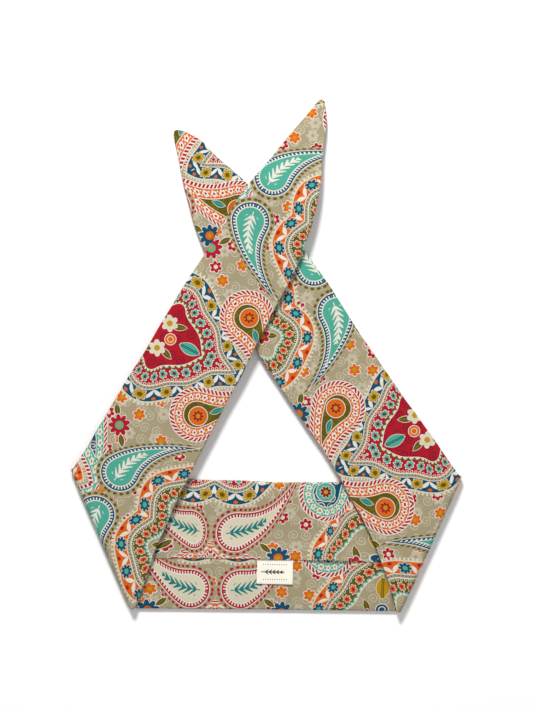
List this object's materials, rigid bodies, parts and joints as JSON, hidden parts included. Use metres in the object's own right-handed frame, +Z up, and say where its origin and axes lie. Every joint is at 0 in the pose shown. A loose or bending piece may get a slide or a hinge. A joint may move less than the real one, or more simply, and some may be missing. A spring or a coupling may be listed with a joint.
{
  "type": "necktie",
  "caption": "Flat fabric neck tie with two pointed ends: a stiffened, wire-cored cloth tube folded at two corners, its tails crossed in front, with a folded label in the back seam.",
  "frame": {"origin": "middle of the footprint, on the table that the tie lies on", "axes": "+Z up, +Y from the neck section towards the points, +X to the right of a viewer who looks down with the points at the top"},
  "size_m": [0.268, 0.3566, 0.0143],
  "materials": {
    "printed_cotton": "plain-weave printed cotton with an all-over paisley in red, teal, orange, olive and white on beige, matte",
    "interlining": "soft off-white felted interlining",
    "covered_wire": "soft wire in a thin satin plastic cover",
    "splice_tape": "black tape wound over the wire's two ends",
    "sewing_thread": "matte spun sewing thread",
    "label_cotton": "white cotton twill label with a plain dark line motif"
  },
  "bodies": {
    "neck": {"neck_shell": "printed_cotton", "neck_interlining": "interlining", "neck_wire_outer": "covered_wire", "neck_wire_left_end": "covered_wire", "neck_wire_right_end": "covered_wire", "wire_splice_sleeve": "splice_tape", "neck_seam_thread": "sewing_thread", "neck_closing_thread": "sewing_thread"},
    "left_tail": {"left_tail_shell": "printed_cotton", "left_tail_interlining": "interlining", "left_tail_wire_outer": "covered_wire", "left_tail_wire_inner": "covered_wire", "left_tail_seam_thread": "sewing_thread"},
    "left_tip": {"left_tip_shell": "printed_cotton", "left_tip_interlining": "interlining", "left_tip_wire_hairpin": "covered_wire", "left_tip_seam_thread": "sewing_thread"},
    "right_tail": {"right_tail_shell": "printed_cotton", "right_tail_interlining": "interlining", "right_tail_wire_outer": "covered_wire", "right_tail_wire_inner": "covered_wire", "right_tail_seam_thread": "sewing_thread"},
    "right_tip": {"right_tip_shell": "printed_cotton", "right_tip_interlining": "interlining", "right_tip_wire_hairpin": "covered_wire", "right_tip_seam_thread": "sewing_thread"},
    "label": {"folded_label": "label_cotton"}
  },
  "joints": [
    {"name": "left_fold", "type": "hinge", "parent": "neck", "child": "left_tail", "pos_m": [-0.09205, -0.17614, 0.00445], "axis": [0.3948, -0.9188, 0], "range_deg": [0, 150]},
    {"name": "right_fold", "type": "hinge", "parent": "neck", "child": "right_tail", "pos_m": [0.09125, -0.17814, 0.00462], "axis": [0.4116, 0.9113, 0], "range_deg": [0, 75]},
    {"name": "left_tip_bend", "type": "hinge", "parent": "left_tail", "child": "left_tip", "pos_m": [-0.01185, 0.12016, 0.0116], "axis": [0.9585, -0.2845, 0.0181], "range_deg": [-60, 90]},
    {"name": "right_tip_bend", "type": "hinge", "parent": "right_tail", "child": "right_tip", "pos_m": [-0.01706, 0.12436, 0.00522], "axis": [0.5394, 0.842, 0.0015], "range_deg": [-60, 90]},
    {"name": "label_flap", "type": "hinge", "parent": "neck", "child": "label", "pos_m": [0.00624, -0.14175, 0.0045], "axis": [-1, 0, 0], "range_deg": [0, 170]}
  ],
  "couplings": [
    {"joint": "right_fold", "follows": "left_fold", "ratio": 0.5}
  ]
}
